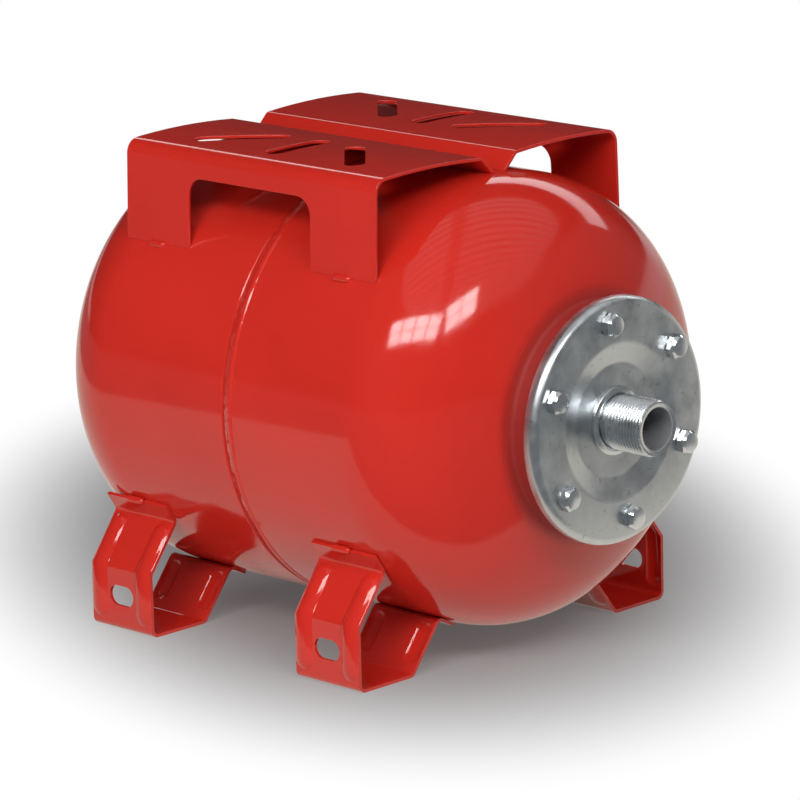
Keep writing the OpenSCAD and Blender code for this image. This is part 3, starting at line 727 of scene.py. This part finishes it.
def floor_material():
    """White paper on a dark table: the camera sees a painted grey shadow round the tank fade to white, gloss
    sees where the paper ends
    """
    s = Shader("pale_floor", Roughness=0.6)
    s.use(Base_Color=s.grey(s.span(s.noise(3, 2), 0.70, 0.72)))
    spot = s.add("ShaderNodeMapping", {"Vector": s.place, "Location": GREY_CENTRE,
                                       "Rotation": (0, 0, GREY_TURN), "Scale": GREY_REACH},
                 vector_type="TEXTURE").outputs["Vector"]
    apart = s.add("ShaderNodeVectorMath", {0: spot}, operation="LENGTH").outputs["Value"]
    fade = s.add("ShaderNodeMapRange", {"Value": apart, "From Min": GREY_START, "From Max": GREY_STOP},
                 interpolation_type="SMOOTHSTEP").outputs["Result"]
    fade = s.calc("POWER", fade, GREY_BEND)
    # the paper that gloss sees ends in front of the tank, on its left, and at a cut corner on the right
    front = s.along(s.place, (0.79, -0.61, 0))
    right, left = s.along(s.place, (0.61, 0.79, 0)), s.along(s.place, (-0.61, -0.79, 0))
    corner = s.calc("MULTIPLY", s.span(front, 0, 1, 0.04, 0.08), s.span(right, 0, 1, 0.50, 0.60))
    sheet = s.calc("MULTIPLY", s.span(front, 1, 0, 0.222, 0.232), s.span(left, 1, 0, 0.70, 0.74))
    sheet = s.calc("MULTIPLY", sheet, s.calc("SUBTRACT", 1, corner))
    path = s.add("ShaderNodeLightPath").outputs
    near = s.span(apart, 0.0, 0.85, 0.25, 0.55)
    shown = s.calc("ADD", s.calc("MULTIPLY", near, sheet), s.calc("SUBTRACT", 1, sheet))
    part = s.calc("ADD", s.calc("MULTIPLY", path["Is Camera Ray"], s.span(fade, DRAWN, 1)),
                  s.calc("MULTIPLY", path["Is Glossy Ray"], shown))
    # painted shadow: a grey that is darkest by the tank and fades to white, seen by the camera only
    painted_shadow = s.grey(s.span(fade, GREY_DARKEST, 1))
    # for gloss the paper glows in warm cream, a painted tint for red light the tank bounces onto it; the
    # table beyond glows dark grey
    paper = s.mix(sheet, (0.20, 0.21, 0.22, 1), (0.84, 0.79, 0.69, 1))
    glow = s.add("ShaderNodeEmission", {"Color": s.mix(path["Is Camera Ray"], paper, painted_shadow)})
    mixed = s.add("ShaderNodeMixShader", {0: part, 1: s.bsdf.outputs[0], 2: glow.outputs[0]})
    # seen from below the floor is clear, so that the underside of the tank can be looked at
    back = s.add("ShaderNodeNewGeometry").outputs["Backfacing"]
    clear = s.add("ShaderNodeBsdfTransparent", {"Color": (1, 1, 1, 1)}).outputs[0]
    under = s.add("ShaderNodeMixShader", {0: back, 1: mixed.outputs[0], 2: clear})
    s.tree.links.new(under.outputs[0], s.tree.nodes["Material Output"].inputs["Surface"])
    return s.material


def light_world(tree):
    """White for the camera, dark air for diffuse light; gloss sees a striped glass roof and pale cards"""
    tree.nodes.clear()
    w = Nodes(tree)
    span, calc = w.span, w.calc
    way = w.add("ShaderNodeTexCoord").outputs["Generated"]
    up = w.add("ShaderNodeSeparateXYZ", {0: way}).outputs["Z"]

    def towards(az):
        return w.along(way, heading(az, 0))

    # a glass roof over the tank, lower on the right, with purlins across and one beam along it
    roof = span(calc("ADD", up, calc("MULTIPLY", towards(90), 0.35)), 0, 1, 0.74, 0.77)
    purlin = calc("PINGPONG", calc("DIVIDE", towards(54), calc("MAXIMUM", up, 0.1)), 0.055)
    beam = span(calc("ABSOLUTE", towards(144)), 0.45, 1, 0.045, 0.075)
    roof = calc("MULTIPLY", roof, calc("MULTIPLY", beam, span(purlin, 0.35, 1, 0.012, 0.022)))
    # white cards stand low behind and on the left, and a fainter one on the right
    behind = calc("MULTIPLY", span(towards(180), 0, 1, 0.88, 0.93), span(up, 1, 0, 0.10, 0.13))
    left = calc("MULTIPLY", span(towards(-100), 0, 1, 0.95, 0.975), span(up, 1, 0, 0.02, 0.04))
    right = calc("MULTIPLY", span(towards(135), 0, 0.27, 0.5, 0.85), span(up, 1, 0, 0.5, 0.6))
    card = calc("MAXIMUM", calc("MAXIMUM", behind, left), right)
    path = w.add("ShaderNodeLightPath").outputs
    gloss = calc("MULTIPLY", path["Is Glossy Ray"], calc("MAXIMUM", card, calc("MULTIPLY", roof, 0.9)))
    white = calc("MAXIMUM", gloss, calc("MAXIMUM", path["Is Camera Ray"], path["Is Transmission Ray"]))
    dark = span(calc("MULTIPLY", path["Is Glossy Ray"], span(towards(-135), 0, 1, 0, 0.5)), 0.12, 0.04)
    air = w.add("ShaderNodeBackground", {"Strength": calc("MAXIMUM", white, dark)})
    tree.links.new(air.outputs[0], w.add("ShaderNodeOutputWorld").inputs["Surface"])


def add_lamp(scene, name, az, el, wide, high, away, glow, mirrored, columns, rows):
    """A window or lamp as a grid of area lights; see LAMPS"""
    aim = heading(az, el)
    right = Vector((0, 0, 1)).cross(aim).normalized()
    pane = [2 * away * math.tan(math.radians(wide / 2)) / columns,
            2 * away * math.tan(math.radians(high / 2)) / rows]
    clear = PANE_CLEAR if columns > 1 else 1.0
    for n in range(columns * rows):
        lamp = bpy.data.lights.new(name, "AREA")
        lamp.shape = "RECTANGLE"
        lamp.size, lamp.size_y = pane[0] * clear, pane[1] * clear
        lamp.energy = glow * math.pi * lamp.size * lamp.size_y
        holder = bpy.data.objects.new(name, lamp)
        scene.collection.objects.link(holder)
        holder.location = (LAMPS_AIM + aim * away
                           + right * pane[0] * (n % columns - (columns - 1) / 2)
                           + aim.cross(right) * pane[1] * (n // columns - (rows - 1) / 2))
        holder.rotation_mode = "QUATERNION"
        holder.rotation_quaternion = (-aim).to_track_quat("-Z", "Y")
        holder.visible_glossy = mirrored


def add_camera(scene):
    """The camera that took the photograph"""
    lens = bpy.data.cameras.new("photo_camera")
    lens.sensor_fit, lens.sensor_width, lens.lens = "HORIZONTAL", SENSOR, FOCAL
    lens.clip_start, lens.clip_end = 0.1, 200
    camera = bpy.data.objects.new("photo_camera", lens)
    scene.collection.objects.link(camera)
    back, roll = heading(CAMERA_AZ, CAMERA_EL), math.radians(CAMERA_ROLL)
    right = Vector((0, 0, 1)).cross(back).normalized()
    up = back.cross(right)
    right, up = (right * math.cos(roll) + up * math.sin(roll), -right * math.sin(roll) + up * math.cos(roll))
    pose = Matrix((right, up, back)).transposed().to_4x4()
    pose.translation = CAMERA_AIM + back * CAMERA_AWAY
    camera.matrix_world = pose
    scene.camera = camera


class TANK_OT_stage(bpy.types.Operator):
    """Build the floor, the lights and the camera"""
    bl_idname = "tank.stage"
    bl_label = "Studio"

    def execute(self, context):
        scene, far = context.scene, 40
        mesh = bpy.data.meshes.new("studio_floor")
        mesh.from_pydata([(-far, -far, 0), (far, -far, 0), (far, far, 0), (-far, far, 0)], [], [(0, 1, 2, 3)])
        mesh.materials.append(floor_material())
        floor = bpy.data.objects.new("studio_floor", mesh)
        scene.collection.objects.link(floor)
        scene.world = bpy.data.worlds.new("studio_air")
        scene.world.use_nodes = True
        light_world(scene.world.node_tree)
        for lamp in LAMPS:
            add_lamp(scene, *lamp)
        add_camera(scene)
        scene.view_settings.view_transform = "Standard"
        return {"FINISHED"}


OPERATORS = (TANK_OT_finishes, TANK_OT_shells, TANK_OT_seam, TANK_OT_flange, TANK_OT_nipple, TANK_OT_bolts,
             TANK_OT_sheet_parts, TANK_OT_stage)


class TANK_PT_panel(bpy.types.Panel):
    """Steps that dress the tank"""
    bl_label = "Pressure tank"
    bl_idname = "TANK_PT_panel"
    bl_space_type = "VIEW_3D"
    bl_region_type = "UI"
    bl_category = "Tank"

    def draw(self, context):
        for step in OPERATORS:
            self.layout.operator(step.bl_idname)
        for group in (context.scene.tank_sizes, context.scene.tank_colours):
            for key in group.bl_rna.properties.keys():
                if key not in ("rna_type", "name"):
                    self.layout.prop(group, key)


CLASSES = (TankSizes, TankColours, *OPERATORS, TANK_PT_panel)


def register():
    for cls in CLASSES:
        bpy.utils.register_class(cls)
    bpy.types.Scene.tank_sizes = bpy.props.PointerProperty(type=TankSizes)
    bpy.types.Scene.tank_colours = bpy.props.PointerProperty(type=TankColours)


def unregister():
    del bpy.types.Scene.tank_colours
    del bpy.types.Scene.tank_sizes
    for cls in reversed(CLASSES):
        bpy.utils.unregister_class(cls)


def main():
    register()
    bpy.ops.tank.finishes()
    bpy.ops.tank.shells()
    bpy.ops.tank.seam()
    bpy.ops.tank.flange()
    bpy.ops.tank.nipple()
    bpy.ops.tank.bolts()
    bpy.ops.tank.sheet_parts()
    bpy.ops.tank.stage()


if __name__ == "__main__":
    main()
